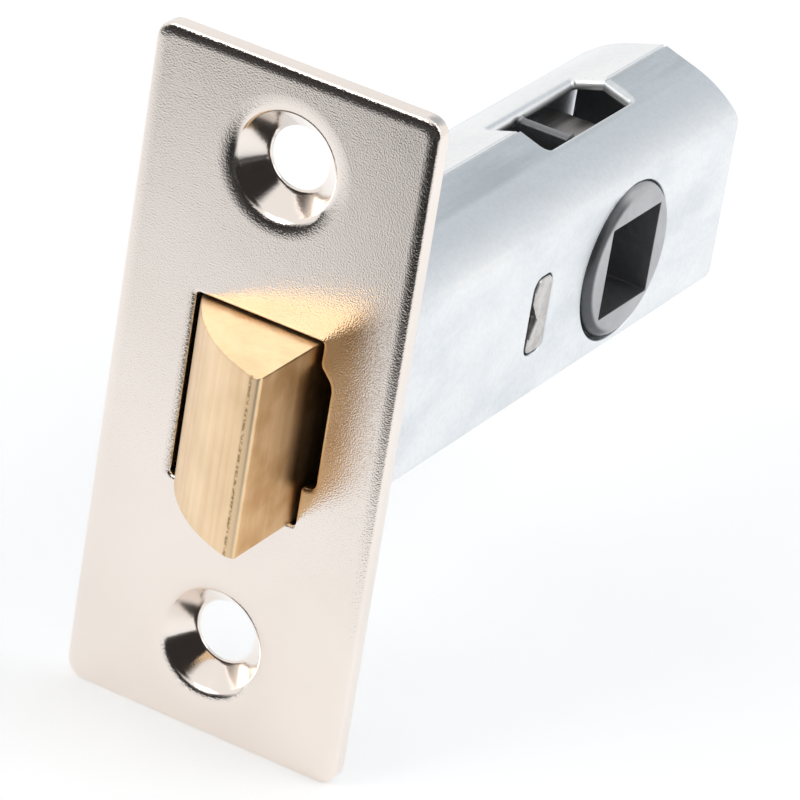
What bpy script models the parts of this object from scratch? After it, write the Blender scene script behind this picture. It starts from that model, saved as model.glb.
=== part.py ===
"""Tubular mortice latch: pressed forend, folded steel case, sprung brass bolt and lever follower.

X runs across the forend, Y runs back along the case and Z runs up the forend.
The origin is the centre of the forend's front face. Lengths are in metres.
"""

import math

import bmesh
import bpy
from mathutils import Matrix, Vector

MM = 0.001

# Fits
RUNNING_GAP = 0.3 * MM
SEAT_GAP = 0.2 * MM
THREAD_GAP = 0.15 * MM

# Follower, turned by the lever's square spindle
BACKSET = 46.2 * MM
SPINDLE_SQUARE = 8.1 * MM
SPINDLE_CORNER_RADIUS = 0.25 * MM
HUB_WALL = 0.57 * MM
HUB_STEP = 0.25 * MM
HUB_PROUD = 0.6 * MM
HUB_EDGE_ROUND = 0.45 * MM
HUB_HOLE_GAP = 0.45 * MM
SHOULDER_STEP = 0.55 * MM
SHOULDER_INNER = 4.25 * MM
LOBE_WIDTH = 4.7 * MM
LOBE_DROP = 0.6 * MM
LOBE_BACK_ANGLE = math.radians(8.5)
LOBE_TIP_ANGLE = math.radians(5.0)
LOBE_ROOT_ANGLE = math.radians(29.5)
WAIST_RADIUS = SPINDLE_SQUARE / math.sqrt(2) + HUB_WALL
HUB_RADIUS = WAIST_RADIUS + HUB_STEP
SHOULDER_RADIUS = HUB_RADIUS + SHOULDER_STEP

# Retractor, a folded strap from the back of the bolt to behind the follower's lobes
STRAP_WIDTH = 7.8 * MM
STRAP_SHEET = 1.2 * MM
STRAP_WAIST_GAP = 0.4 * MM
STRAP_FOLD_RADIUS = 2.0 * MM
STRAP_BAR = 6.5 * MM
STRAP_FREE_PLAY = 0.3 * MM
STRAP_SLOT_FRONT = 31.5 * MM
STRAP_SLOT_RADIUS = 0.4 * MM
STRAP_INNER_HEIGHT = WAIST_RADIUS + STRAP_WAIST_GAP
STRAP_HALF_HEIGHT = STRAP_INNER_HEIGHT + STRAP_SHEET

# Case, one folded sheet closed by a seam along its top
CASE_WIDTH = 15.8 * MM
CASE_SHEET = 1.0 * MM
CASE_STRAP_GAP = 1.9 * MM
CASE_FOLD_RADIUS = 1.5 * MM
CASE_END = 64.0 * MM
SEAM_GAP = 0.2 * MM
SEAM_FLAT = 3.2 * MM
WINDOW_LENGTH = 14.3 * MM
WINDOW_WIDTH = 5.7 * MM
WINDOW_CORNER_RADIUS = 0.3 * MM
CASE_RADIUS = STRAP_HALF_HEIGHT + CASE_STRAP_GAP + CASE_SHEET
LOBE_RADIUS = CASE_RADIUS - LOBE_DROP

# Latch bolt, brass, bevelled on the side that meets the keep
BOLT_WIDTH = 10.74 * MM
BOLT_CORNER_GAP = 0.41 * MM
BOLT_PROJECTION = 8.45 * MM
BOLT_BACK = 14.0 * MM
BOLT_NOSE_WIDTH = 0.85 * MM
BOLT_NOSE_CHAMFER = 0.2 * MM
BOLT_BEVEL_RADIUS = 16.5 * MM
BOLT_BEVEL_START = 0.3 * MM
BOLT_EDGE_ROUND = 0.12 * MM
BOLT_CORNER_RADIUS = CASE_RADIUS - CASE_SHEET - BOLT_CORNER_GAP
BOLT_HEIGHT = 2 * math.sqrt(BOLT_CORNER_RADIUS ** 2 - (BOLT_WIDTH / 2) ** 2)

# Forend, a pressed steel plate with two dimpled screw holes
FOREND_HEIGHT = 57.0 * MM
FOREND_WIDTH = 25.0 * MM
FOREND_THICKNESS = 1.6 * MM
FOREND_CORNER_RADIUS = 1.6 * MM
FOREND_FRONT_ROUND = 0.3 * MM
FOREND_BACK_ROUND = 0.15 * MM
SCREW_END_DISTANCE = 8.0 * MM
SCREW_RIM_RADIUS = 4.4 * MM
SCREW_HOLE_RADIUS = 2.55 * MM
SCREW_DIMPLE_DEPTH = 2.35 * MM
SCREW_HOLE_LAND = 0.4 * MM
DIMPLE_LIP_ROUND = 0.25 * MM
DIMPLE_WALL = 0.95 * MM
APERTURE_CORNER_RADIUS = 0.4 * MM
RELIEF_DEPTH = 1.2 * MM
RELIEF_HEIGHT = 9.4 * MM
RELIEF_RAISE = 0.3 * MM
RELIEF_CORNER_RADIUS = 0.9 * MM
SCREW_SPACING = FOREND_HEIGHT - 2 * SCREW_END_DISTANCE

# Screw that clamps the retractor to the bolt
SCREW_SHANK_RADIUS = 2.0 * MM
SCREW_LENGTH = 8.0 * MM
SCREW_HEAD_RADIUS = 3.3 * MM
SCREW_HEAD_HEIGHT = 1.8 * MM
SCREW_HEAD_ROUND = 0.3 * MM
SCREW_SLOT_WIDTH = 0.9 * MM
SCREW_SLOT_DEPTH = 0.9 * MM
TAPPED_DEPTH = 9.0 * MM

# Spring stop, a plate whose side lugs are staked in slots of the case
STOP_MIDDLE = 32.3 * MM
STOP_SHEET = 1.8 * MM
STOP_CORNER_RADIUS = 1.2 * MM
STOP_HALF_HEIGHT = STRAP_INNER_HEIGHT - STRAP_WAIST_GAP
LUG_HEIGHT = 6.0 * MM
LUG_PROUD = 0.1 * MM
LUG_CORNER_RADIUS = 0.6 * MM
LUG_SLOT_FRONT_GAP = 0.7 * MM
LUG_SLOT_BACK_GAP = 0.25 * MM
LUG_SLOT_END_GAP = 0.5 * MM
STAKE_DEPTH = 0.4 * MM
STAKE_WIDTH = 1.4 * MM
SPIGOT_HEIGHT = 0.8 * MM
SPIGOT_SHEAR = 0.25 * MM

# Bolt spring, closed at both ends, between the retractor and the spring stop
SPRING_RADIUS = 4.6 * MM
SPRING_WIRE_RADIUS = 0.45 * MM
SPRING_TURNS = 6.0
SPRING_END_TURNS = 1.0
SPRING_SIDES = 8
SPRING_STEPS = 18

# End plate that closes the case behind the follower
END_PLATE_SHEET = 1.2 * MM
END_PLATE_RECESS = 0.4 * MM

# Faceting, and how far a cutting tool runs past what it cuts
FACET = math.radians(6.0)
CUT_OVERRUN = 5.0 * MM
MERGE = 0.0005 * MM


def clear_scene():
    for item in list(bpy.data.objects):
        bpy.data.objects.remove(item, do_unlink=True)


def make_material(name, colour, metallic, roughness):
    material = bpy.data.materials.new(name)
    material.use_nodes = True
    shader = material.node_tree.nodes["Principled BSDF"]
    shader.inputs["Base Color"].default_value = (*colour, 1.0)
    shader.inputs["Metallic"].default_value = metallic
    shader.inputs["Roughness"].default_value = roughness
    material.diffuse_color = (*colour, 1.0)
    return material


def add_object(name, bm, material=None):
    """Turns a bmesh into an object with its faces pointing out and its round faces smooth."""
    bmesh.ops.remove_doubles(bm, verts=bm.verts, dist=MERGE)
    bmesh.ops.recalc_face_normals(bm, faces=bm.faces)
    mesh = bpy.data.meshes.new(name)
    bm.to_mesh(mesh)
    bm.free()
    mesh.shade_smooth()
    mesh.set_sharp_from_angle(angle=math.radians(30.0))
    item = bpy.data.objects.new(name, mesh)
    bpy.context.scene.collection.objects.link(item)
    if material:
        mesh.materials.append(material)
    return item


def add_boolean(target, tool, operation):
    """Cuts a hidden tool object out of the target, or joins it on."""
    tool.hide_render = True
    tool.display_type = "WIRE"
    modifier = target.modifiers.new(f"{operation.lower()} {tool.name}", "BOOLEAN")
    modifier.operation = operation
    modifier.object = tool
    modifier.solver = "EXACT"


def arc(centre, radius, start, end, step=FACET):
    """Points on a circle from one angle to another, both included."""
    count = max(2, math.ceil(abs(end - start) / step))
    angles = [start + (end - start) * i / count for i in range(count + 1)]
    return [(centre[0] + radius * math.cos(a), centre[1] + radius * math.sin(a)) for a in angles]


def rounded_rectangle(half_width, half_height, radius, step=math.radians(15.0)):
    """Outline of a rectangle with round corners, anticlockwise."""
    x = half_width - radius
    z = half_height - radius
    quarter = math.pi / 2
    corners = [(x, z), (-x, z), (-x, -z), (x, -z)]
    outline = []
    for i, centre in enumerate(corners):
        outline += arc(centre, radius, i * quarter, (i + 1) * quarter, step)
    return outline


def circle(centre, radius, sides=60):
    return arc(centre, radius, 0.0, 2 * math.pi, 2 * math.pi / sides)[:-1]


def shifted(outline, offset):
    return [(a + offset, b) for a, b in outline]


def loft(rings):
    """Skins a stack of equal rings of 3-D points and caps both ends."""
    bm = bmesh.new()
    loops = [[bm.verts.new(point) for point in ring] for ring in rings]
    count = len(loops[0])
    for lower, upper in zip(loops, loops[1:]):
        for i in range(count):
            j = (i + 1) % count
            bm.faces.new((lower[i], lower[j], upper[j], upper[i]))
    bm.faces.new(loops[0])
    bm.faces.new(loops[-1])
    return bm


def prism_along_x(outline, start, end):
    """Extrudes an outline of (y, z) points."""
    return loft([[(x, y, z) for y, z in outline] for x in (start, end)])


def prism_along_y(outline, start, end):
    """Extrudes an outline of (x, z) points."""
    return loft([[(x, y, z) for x, z in outline] for y in (start, end)])


def prism_along_z(outline, start, end):
    """Extrudes an outline of (x, y) points."""
    return loft([[(x, y, z) for x, y in outline] for z in (start, end)])


def turned(profile, centre, axis, sides=48):
    """Solid of revolution from (distance, radius) points, with flat ends."""
    rings = []
    for distance, radius in profile:
        rings.append([(x, y, distance) for x, y in circle((0.0, 0.0), radius, sides)])
    bm = loft(rings)
    turn = Vector((0.0, 0.0, 1.0)).rotation_difference(Vector(axis)).to_matrix().to_4x4()
    bmesh.ops.transform(bm, matrix=Matrix.Translation(centre) @ turn, verts=bm.verts)
    return bm


def case_half_outline(inset):
    """Right half of the case's section from the seam down to the bottom, inset from its outside."""
    radius = CASE_RADIUS - inset
    tilt = math.asin(SEAM_FLAT / CASE_RADIUS)
    edge = SEAM_GAP / 2
    roof = radius * math.cos(tilt) + (radius * math.sin(tilt) - edge) * math.tan(tilt)
    fold_x = CASE_WIDTH / 2 - CASE_FOLD_RADIUS
    fold_z = math.sqrt((CASE_RADIUS - CASE_FOLD_RADIUS) ** 2 - fold_x ** 2)
    fold_angle = math.atan2(fold_z, fold_x)
    fold_radius = CASE_FOLD_RADIUS - inset
    up = math.pi / 2
    outline = [(edge, roof)]
    outline += arc((0.0, 0.0), radius, up - tilt, fold_angle)
    outline += arc((fold_x, fold_z), fold_radius, fold_angle, 0.0, FACET * 2)[1:]
    outline += arc((fold_x, -fold_z), fold_radius, 0.0, -fold_angle, FACET * 2)
    outline += arc((0.0, 0.0), radius, -fold_angle, -up)[1:]
    return outline


def case_outline(inset):
    """Whole open section, from the right edge of the seam round to its left edge."""
    right = case_half_outline(inset)
    return right + [(-x, z) for x, z in reversed(right[:-1])]


def folded_tube(outer, inner, start, end):
    """Extrudes an open folded section, given by matching outer and inner outlines, along Y."""
    bm = bmesh.new()
    strips = []
    for outline, y in ((outer, start), (outer, end), (inner, end), (inner, start)):
        strips.append([bm.verts.new((x, y, z)) for x, z in outline])
    for i in range(len(outer) - 1):
        for a, b in zip(strips, strips[1:] + strips[:1]):
            bm.faces.new((a[i], a[i + 1], b[i + 1], b[i]))
    for i in (0, -1):
        bm.faces.new([strip[i] for strip in strips])
    return bm


def build_forend(material):
    """Plate with rounded edges, two dimpled screw holes and the bolt's aperture."""
    half_width = FOREND_WIDTH / 2
    half_height = FOREND_HEIGHT / 2
    sections = []
    for step in range(4):
        angle = math.pi / 2 * step / 3
        sections.append((FOREND_FRONT_ROUND * (1 - math.cos(angle)), FOREND_FRONT_ROUND * (1 - math.sin(angle))))
    sections.append((FOREND_THICKNESS - FOREND_BACK_ROUND, 0.0))
    sections.append((FOREND_THICKNESS, FOREND_BACK_ROUND))
    rings = []
    for y, inset in sections:
        outline = rounded_rectangle(half_width - inset, half_height - inset, FOREND_CORNER_RADIUS - inset)
        rings.append([(x, y, z) for x, z in outline])
    forend = add_object("forend", loft(rings), material)

    bottom = SCREW_DIMPLE_DEPTH + SCREW_HOLE_LAND
    boss = [
        (FOREND_THICKNESS / 2, SCREW_RIM_RADIUS + DIMPLE_WALL),
        (FOREND_THICKNESS, SCREW_RIM_RADIUS + DIMPLE_WALL),
        (bottom, SCREW_HOLE_RADIUS + DIMPLE_WALL),
    ]
    lip = DIMPLE_LIP_ROUND
    cone = [
        (-CUT_OVERRUN, SCREW_RIM_RADIUS + CUT_OVERRUN),
        (0.0, SCREW_RIM_RADIUS),
        (lip * 0.3, SCREW_RIM_RADIUS - lip * 0.8),
        (lip, SCREW_RIM_RADIUS - lip * 1.6),
        (SCREW_DIMPLE_DEPTH - lip, SCREW_HOLE_RADIUS + lip * 0.7),
        (SCREW_DIMPLE_DEPTH, SCREW_HOLE_RADIUS),
        (bottom + CUT_OVERRUN, SCREW_HOLE_RADIUS),
    ]
    for label, side in (("upper", 1), ("lower", -1)):
        centre = (0.0, 0.0, side * SCREW_SPACING / 2)
        add_boolean(forend, add_object(f"dimple {label}", turned(boss, centre, (0, 1, 0))), "UNION")
        add_boolean(forend, add_object(f"countersink {label}", turned(cone, centre, (0, 1, 0))), "DIFFERENCE")

    half_gap_x = BOLT_WIDTH / 2 + RUNNING_GAP
    half_gap_z = BOLT_HEIGHT / 2 + RUNNING_GAP
    outline = rounded_rectangle(half_gap_x, half_gap_z, APERTURE_CORNER_RADIUS, math.radians(30.0))
    aperture = prism_along_y(outline, -CUT_OVERRUN, FOREND_THICKNESS + CUT_OVERRUN)
    add_boolean(forend, add_object("bolt aperture", aperture), "DIFFERENCE")
    outline = rounded_rectangle(RELIEF_DEPTH, RELIEF_HEIGHT / 2, RELIEF_CORNER_RADIUS)
    outline = [(x + half_gap_x, z + RELIEF_RAISE) for x, z in outline]
    relief = prism_along_y(outline, -CUT_OVERRUN, FOREND_THICKNESS + CUT_OVERRUN)
    add_boolean(forend, add_object("aperture relief", relief), "DIFFERENCE")
    return forend


def build_case(material):
    """Folded tube with windows for the lobes, holes for the hub and slots for the stop's lugs."""
    start = FOREND_THICKNESS + SEAT_GAP
    tube = folded_tube(case_outline(0.0), case_outline(CASE_SHEET), start, CASE_END)
    case = add_object("case", tube, material)

    window = rounded_rectangle(WINDOW_WIDTH / 2, WINDOW_LENGTH / 2, WINDOW_CORNER_RADIUS, math.radians(30.0))
    window = [(x, y + BACKSET) for x, y in window]
    near = CASE_RADIUS / 2
    far = CASE_RADIUS + CUT_OVERRUN
    add_boolean(case, add_object("top window", prism_along_z(window, near, far)), "DIFFERENCE")
    add_boolean(case, add_object("bottom window", prism_along_z(window, -far, -near)), "DIFFERENCE")

    holes = prism_along_x(circle((BACKSET, 0.0), HUB_RADIUS + HUB_HOLE_GAP), -far, far)
    add_boolean(case, add_object("hub holes", holes), "DIFFERENCE")

    slot_front = STOP_MIDDLE - STOP_SHEET / 2 - LUG_SLOT_FRONT_GAP
    slot_back = STOP_MIDDLE + STOP_SHEET / 2 + LUG_SLOT_BACK_GAP
    half_width = (slot_back - slot_front) / 2
    half_height = LUG_HEIGHT / 2 + LUG_SLOT_END_GAP
    slot = rounded_rectangle(half_width, half_height, half_width * 0.8, math.radians(22.5))
    slots = prism_along_x(shifted(slot, slot_front + half_width), -far, far)
    add_boolean(case, add_object("lug slots", slots), "DIFFERENCE")
    return case


def bolt_outline():
    """Plan of the bolt: flat thrust side, narrow nose and a convex bevel."""
    right = BOLT_WIDTH / 2
    nose = -BOLT_PROJECTION
    bevel_end = Vector((right - BOLT_NOSE_WIDTH, nose))
    bevel_start = Vector((-right, BOLT_BEVEL_START))
    chord = bevel_start - bevel_end
    height = math.sqrt(BOLT_BEVEL_RADIUS ** 2 - (chord.length / 2) ** 2)
    inward = Vector((-chord.y, chord.x)).normalized()
    if inward.y < 0:
        inward = -inward
    centre = (bevel_start + bevel_end) / 2 + inward * height
    first = math.atan2(bevel_end.y - centre.y, bevel_end.x - centre.x)
    last = math.atan2(bevel_start.y - centre.y, bevel_start.x - centre.x)
    if last > first:
        last -= 2 * math.pi
    outline = [(right, BOLT_BACK), (right, nose + BOLT_NOSE_CHAMFER), (right - BOLT_NOSE_CHAMFER, nose)]
    outline += arc(centre, BOLT_BEVEL_RADIUS, first, last, math.radians(3.0))
    outline.append((-right, BOLT_BACK))
    return outline


def build_bolt(material):
    """Solid brass bolt with a tapped hole in its back."""
    half_height = BOLT_HEIGHT / 2
    bolt = add_object("latch_bolt", prism_along_z(bolt_outline(), -half_height, half_height), material)
    edges = bolt.modifiers.new("rounded edges", "BEVEL")
    edges.limit_method = "ANGLE"
    edges.angle_limit = math.radians(40.0)
    edges.width = BOLT_EDGE_ROUND
    edges.segments = 2
    radius = SCREW_SHANK_RADIUS + THREAD_GAP
    hole = turned([(-TAPPED_DEPTH, radius), (CUT_OVERRUN, radius)], (0.0, BOLT_BACK, 0.0), (0, 1, 0), 32)
    add_boolean(bolt, add_object("tapped hole", hole), "DIFFERENCE")
    return bolt


def strap_front():
    return BOLT_BACK + SEAT_GAP


def bar_front():
    """Front edge of the retractor's bars, just behind the follower's lobes at rest."""
    return BACKSET - STRAP_INNER_HEIGHT * math.tan(LOBE_BACK_ANGLE) + STRAP_FREE_PLAY


def strap_outline():
    """Side view of the folded strap: a U that is open to the rear."""
    back = bar_front() + STRAP_BAR
    outer = STRAP_FOLD_RADIUS
    inner = STRAP_FOLD_RADIUS - STRAP_SHEET
    bend_y = strap_front() + outer
    bend_z = STRAP_HALF_HEIGHT - outer
    half = math.pi / 2
    step = math.radians(15.0)
    outline = [(back, STRAP_HALF_HEIGHT)]
    outline += arc((bend_y, bend_z), outer, half, 2 * half, step)
    outline += arc((bend_y, -bend_z), outer, 2 * half, 3 * half, step)
    outline += [(back, -STRAP_HALF_HEIGHT), (back, -STRAP_INNER_HEIGHT)]
    outline += arc((bend_y, -bend_z), inner, 3 * half, 2 * half, step)
    outline += arc((bend_y, bend_z), inner, 2 * half, half, step)
    outline.append((back, STRAP_INNER_HEIGHT))
    return outline


def build_retractor(material):
    """Folded strap whose slots let the lobes push its rear bars back."""
    half_width = STRAP_WIDTH / 2
    retractor = add_object("retractor", prism_along_x(strap_outline(), -half_width, half_width), material)
    half_length = (bar_front() - STRAP_SLOT_FRONT) / 2
    slot = rounded_rectangle(LOBE_WIDTH / 2 + RUNNING_GAP, half_length, STRAP_SLOT_RADIUS, math.radians(30.0))
    slot = [(x, y + STRAP_SLOT_FRONT + half_length) for x, y in slot]
    reach = STRAP_HALF_HEIGHT + CUT_OVERRUN
    add_boolean(retractor, add_object("strap slots", prism_along_z(slot, -reach, reach)), "DIFFERENCE")
    radius = SCREW_SHANK_RADIUS + RUNNING_GAP
    hole = turned([(-CUT_OVERRUN, radius), (CUT_OVERRUN, radius)], (0.0, strap_front(), 0.0), (0, 1, 0), 32)
    add_boolean(retractor, add_object("strap hole", hole), "DIFFERENCE")
    return retractor


def build_screw(material):
    """Slotted cheese-head screw behind the strap."""
    seat = strap_front() + STRAP_SHEET + SEAT_GAP
    tip = seat - SCREW_LENGTH
    top = seat + SCREW_HEAD_HEIGHT
    profile = [
        (tip, SCREW_SHANK_RADIUS * 0.8),
        (tip + SCREW_SHANK_RADIUS * 0.2, SCREW_SHANK_RADIUS),
        (seat, SCREW_SHANK_RADIUS),
        (seat, SCREW_HEAD_RADIUS),
        (top - SCREW_HEAD_ROUND, SCREW_HEAD_RADIUS),
        (top, SCREW_HEAD_RADIUS - SCREW_HEAD_ROUND),
    ]
    screw = add_object("bolt_screw", turned(profile, (0.0, 0.0, 0.0), (0, 1, 0), 32), material)
    half = SCREW_SLOT_WIDTH / 2
    reach = SCREW_HEAD_RADIUS + CUT_OVERRUN
    slot = [(top - SCREW_SLOT_DEPTH, -half), (top + CUT_OVERRUN, -half)]
    slot += [(top + CUT_OVERRUN, half), (top - SCREW_SLOT_DEPTH, half)]
    add_boolean(screw, add_object("screw slot", prism_along_x(slot, -reach, reach)), "DIFFERENCE")
    return screw


def build_spring(material):
    """Helical compression spring between the strap's web and the spring stop."""
    start = strap_front() + STRAP_SHEET + SPRING_WIRE_RADIUS + SEAT_GAP
    end = STOP_MIDDLE - STOP_SHEET / 2 - SPRING_WIRE_RADIUS - SEAT_GAP
    closed_pitch = 2 * SPRING_WIRE_RADIUS + SEAT_GAP
    closed_length = closed_pitch * SPRING_END_TURNS
    open_turns = SPRING_TURNS - 2 * SPRING_END_TURNS
    open_length = end - start - 2 * closed_length
    count = round(SPRING_TURNS * SPRING_STEPS)
    centres = []
    for i in range(count + 1):
        turns = i / SPRING_STEPS
        if turns < SPRING_END_TURNS:
            y = start + closed_pitch * turns
        elif turns > SPRING_TURNS - SPRING_END_TURNS:
            y = end - closed_pitch * (SPRING_TURNS - turns)
        else:
            y = start + closed_length + open_length * (turns - SPRING_END_TURNS) / open_turns
        angle = 2 * math.pi * turns
        centres.append(Vector((SPRING_RADIUS * math.cos(angle), y, SPRING_RADIUS * math.sin(angle))))
    rings = []
    for i, centre in enumerate(centres):
        along = (centres[min(i + 1, count)] - centres[max(i - 1, 0)]).normalized()
        outward = Vector((centre.x, 0.0, centre.z)).normalized()
        across = along.cross(outward).normalized()
        section = circle((0.0, 0.0), SPRING_WIRE_RADIUS, SPRING_SIDES)
        rings.append([centre + outward * a + across * b for a, b in section])
    return add_object("bolt_spring", loft(rings), material)


def build_stop(material):
    """Plate across the case with a pressed spigot for the spring and a staked lug on each side."""
    half_width = CASE_WIDTH / 2 - CASE_SHEET - RUNNING_GAP
    front = STOP_MIDDLE - STOP_SHEET / 2
    back = STOP_MIDDLE + STOP_SHEET / 2
    outline = rounded_rectangle(half_width, STOP_HALF_HEIGHT, STOP_CORNER_RADIUS)
    stop = add_object("spring_stop", prism_along_y(outline, front, back), material)

    reach = CASE_WIDTH / 2 + LUG_PROUD
    lugs = rounded_rectangle(reach, LUG_HEIGHT / 2, LUG_CORNER_RADIUS, math.radians(30.0))
    add_boolean(stop, add_object("lugs", prism_along_y(lugs, front, back)), "UNION")

    spigot_radius = SPRING_RADIUS - SPRING_WIRE_RADIUS - RUNNING_GAP
    boss = [(front - SPIGOT_HEIGHT, spigot_radius), (STOP_MIDDLE, spigot_radius)]
    add_boolean(stop, add_object("spigot", turned(boss, (0, 0, 0), (0, 1, 0))), "UNION")
    recess_radius = spigot_radius - SPIGOT_SHEAR
    recess = [(back - SPIGOT_HEIGHT, recess_radius), (back + CUT_OVERRUN, recess_radius)]
    add_boolean(stop, add_object("spigot recess", turned(recess, (0, 0, 0), (0, 1, 0))), "DIFFERENCE")

    half = STAKE_WIDTH / 2
    for label, side in (("right", 1), ("left", -1)):
        tip = side * (reach + STAKE_DEPTH)
        groove = [(tip, -STAKE_WIDTH), (side * (reach - STAKE_DEPTH), -half * 0.2)]
        groove += [(side * (reach - STAKE_DEPTH), half * 0.2), (tip, STAKE_WIDTH)]
        tool = prism_along_y(groove, front - CUT_OVERRUN, back + CUT_OVERRUN)
        add_boolean(stop, add_object(f"stake {label}", tool), "DIFFERENCE")
    return stop


def lobe_outline(side):
    """Side view of one lobe, leaning forward of the hub's axis."""
    back = LOBE_BACK_ANGLE
    front = back + LOBE_TIP_ANGLE
    polar = [(WAIST_RADIUS * 0.95, back)]
    polar += [(LOBE_RADIUS, back + LOBE_TIP_ANGLE * i / 4) for i in range(5)]
    polar += [(WAIST_RADIUS * 1.12, front + LOBE_ROOT_ANGLE * 0.3)]
    polar += [(WAIST_RADIUS * 0.95, back + LOBE_ROOT_ANGLE)]
    return [(-radius * math.sin(angle), side * radius * math.cos(angle)) for radius, angle in polar]


def build_follower(material):
    """Hub with a square hole, two shoulders inside the case and a lobe above and below."""
    half_length = CASE_WIDTH / 2 + HUB_PROUD
    shoulder_outer = CASE_WIDTH / 2 - CASE_SHEET - 2 * RUNNING_GAP
    edge = HUB_EDGE_ROUND
    right = [
        (SHOULDER_INNER, WAIST_RADIUS),
        (SHOULDER_INNER, SHOULDER_RADIUS),
        (shoulder_outer, SHOULDER_RADIUS),
        (shoulder_outer, HUB_RADIUS),
        (half_length - edge, HUB_RADIUS),
        (half_length - edge * 0.3, HUB_RADIUS - edge * 0.3),
        (half_length, HUB_RADIUS - edge),
    ]
    left = [(-distance, radius) for distance, radius in reversed(right)]
    hub = turned(left + right, (0.0, 0.0, 0.0), (1, 0, 0), 60)
    follower = add_object("follower", hub, material)
    follower.location = (0.0, BACKSET, 0.0)

    half_lobe = LOBE_WIDTH / 2
    half = SPINDLE_SQUARE / 2
    square = rounded_rectangle(half, half, SPINDLE_CORNER_RADIUS, math.radians(45.0))
    reach = half_length + CUT_OVERRUN
    tools = [
        (add_object("lobe upper", prism_along_x(lobe_outline(1), -half_lobe, half_lobe)), "UNION"),
        (add_object("lobe lower", prism_along_x(lobe_outline(-1), -half_lobe, half_lobe)), "UNION"),
        (add_object("spindle square", prism_along_x(square, -reach, reach)), "DIFFERENCE"),
    ]
    for tool, operation in tools:
        tool.location = follower.location
        add_boolean(follower, tool, operation)
    return follower


def build_end_plate(material):
    """Plate that fills the case's open end behind the follower."""
    outline = case_outline(CASE_SHEET + RUNNING_GAP)
    back = CASE_END - END_PLATE_RECESS
    return add_object("end_plate", prism_along_y(outline, back - END_PLATE_SHEET, back), material)


def main():
    clear_scene()
    nickel = make_material("bright nickel plate", (0.80, 0.76, 0.72), 1.0, 0.28)
    zinc = make_material("zinc plated sheet", (0.74, 0.77, 0.80), 0.9, 0.42)
    brass = make_material("drawn brass", (0.80, 0.62, 0.36), 1.0, 0.35)
    steel = make_material("plain steel", (0.55, 0.54, 0.53), 1.0, 0.4)
    wire = make_material("spring wire", (0.45, 0.45, 0.46), 1.0, 0.32)
    casting = make_material("grey casting", (0.42, 0.42, 0.43), 0.6, 0.5)
    build_forend(nickel)
    build_case(zinc)
    build_bolt(brass)
    build_retractor(steel)
    build_screw(steel)
    build_spring(wire)
    build_stop(steel)
    build_follower(casting)
    build_end_plate(zinc)
    bpy.context.view_layer.update()


main()
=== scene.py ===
# %% [markdown]
# # A tubular mortice latch
#
# This is the small latch that sits in the edge of an inside door. A plate, the forend, lies flush
# with the door's edge. A sprung brass bolt stands out of it, and a folded steel case runs back into
# a bored hole. A lever's square spindle turns the follower near the rear, and the follower draws
# the bolt back.
#
# The plain solids of the latch are loaded first. Each cell after that makes one piece as a fine
# mesh over its solid, in the same place and of the same size, and gives it the finish of the
# real metal. X runs across the forend, Y back along the case and Z up. Lengths are in metres.

# %% Load the plain solids
import math

import bmesh
import bpy
from mathutils import Matrix, Vector
from mathutils.geometry import delaunay_2d_cdt


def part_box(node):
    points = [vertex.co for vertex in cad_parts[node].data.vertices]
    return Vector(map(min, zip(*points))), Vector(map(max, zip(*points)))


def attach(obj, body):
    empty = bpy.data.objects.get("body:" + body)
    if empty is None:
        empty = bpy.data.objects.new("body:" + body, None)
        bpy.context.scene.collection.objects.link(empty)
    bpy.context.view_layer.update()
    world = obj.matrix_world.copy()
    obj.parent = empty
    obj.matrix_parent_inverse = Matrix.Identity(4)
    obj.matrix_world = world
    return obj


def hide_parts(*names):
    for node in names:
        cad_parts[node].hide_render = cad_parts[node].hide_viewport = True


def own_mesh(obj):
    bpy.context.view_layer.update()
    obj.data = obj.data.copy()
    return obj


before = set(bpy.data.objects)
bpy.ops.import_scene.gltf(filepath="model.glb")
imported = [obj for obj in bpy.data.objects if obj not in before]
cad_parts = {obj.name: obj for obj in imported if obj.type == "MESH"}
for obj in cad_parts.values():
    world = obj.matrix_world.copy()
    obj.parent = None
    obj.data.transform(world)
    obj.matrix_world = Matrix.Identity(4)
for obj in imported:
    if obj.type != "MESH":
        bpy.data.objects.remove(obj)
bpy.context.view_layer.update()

MM = 0.001
print("solids:", sorted(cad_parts))

# %% [markdown]
# ## Camera
#
# The camera stands in front, to the right and above, and far off with a long lens, so the case
# hardly narrows towards its rear. Its place and lens were worked out from the known size of the
# forend and where its corners fall in the picture. A camera looks along its own -Z with +Y up, so
# its rotation is built from the three directions it should have.

# %% Camera
CAMERA_PLACE = Vector((193.35, -363.59, 209.13)) * MM
CAMERA_RIGHT = Vector((0.85021, 0.50512, 0.14832))
CAMERA_DOWN = Vector((0.34496, -0.32171, -0.88176))
CAMERA_LENS = 272.82

camera_data = bpy.data.cameras.new("camera")
camera_data.lens = CAMERA_LENS
camera_data.sensor_width = 36.0
camera_data.clip_start = 0.01
camera = bpy.data.objects.new("camera", camera_data)
bpy.context.scene.collection.objects.link(camera)
right = CAMERA_RIGHT.normalized()
up = -CAMERA_DOWN.normalized()
back = right.cross(up)
turn = Matrix((right, up, back)).transposed().to_4x4()
camera.matrix_world = Matrix.Translation(CAMERA_PLACE) @ turn
bpy.context.scene.camera = camera
print("camera looks along", [round(v, 3) for v in -back])

# %% [markdown]
# ## Light and floor
#
# Small shiny metal parts are photographed on white paper inside a white surround, because metal
# shows whatever stands around it. What gives it form is the one place that isn't white: the room
# behind the camera. The world is made that way. It is even and pale for plain light. Where the
# camera or a reflection sees it, it is white, with a soft dark patch towards the camera, a dark
# strip low in front and a blue-grey patch high at the back.

# %% World tools
scene = bpy.context.scene
scene.view_settings.view_transform = "Standard"


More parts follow.
